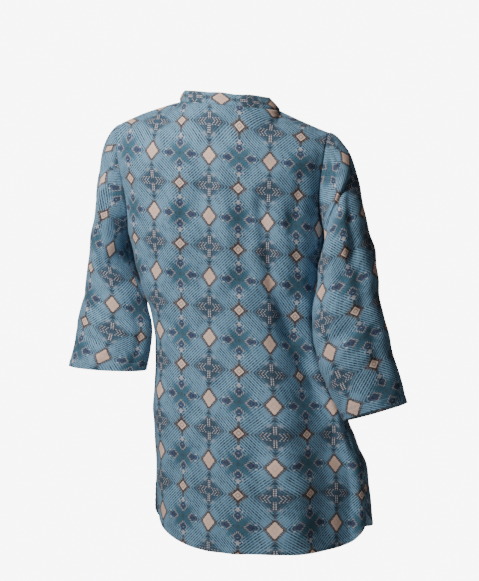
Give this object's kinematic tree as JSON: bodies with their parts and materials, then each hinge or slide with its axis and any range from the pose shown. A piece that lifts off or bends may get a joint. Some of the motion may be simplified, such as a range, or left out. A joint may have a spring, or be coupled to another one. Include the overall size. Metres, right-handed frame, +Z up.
{
  "type": "casual shirt",
  "caption": "Long loose shirt with a standing band collar, three-quarter sleeves, open side vents and a rounded hem, worn shape, hollow.",
  "frame": {"origin": "between the two neck points on the shoulder line, at mid depth of the neck, where the wearer's shoulders carry the shirt", "axes": "+Z up along the wearer's spine; the front faces -Y and the back +Y; +X is the wearer's left"},
  "size_m": [0.618, 0.278, 0.8285],
  "materials": {
    "back": "light woven cloth, printed in blues with cream motifs, matt",
    "front_left": "light woven cloth, printed in blues with cream motifs, matt",
    "front_right": "light woven cloth, printed in blues with cream motifs, matt",
    "sleeve_left": "light woven cloth, printed in blues with cream motifs, matt",
    "sleeve_right": "light woven cloth, printed in blues with cream motifs, matt",
    "collar": "light woven cloth, printed in blues with cream motifs, matt",
    "button": "dark blue moulded button"
  },
  "bodies": {
    "root": {"back": "back", "front_left": "front_left", "front_right": "front_right", "sleeve_left": "sleeve_left", "sleeve_right": "sleeve_right", "collar": "collar", "button_1": "button", "button_2": "button", "button_3": "button", "button_4": "button", "button_5": "button", "button_6": "button", "button_7": "button", "button_8": "button"}
  },
  "joints": []
}
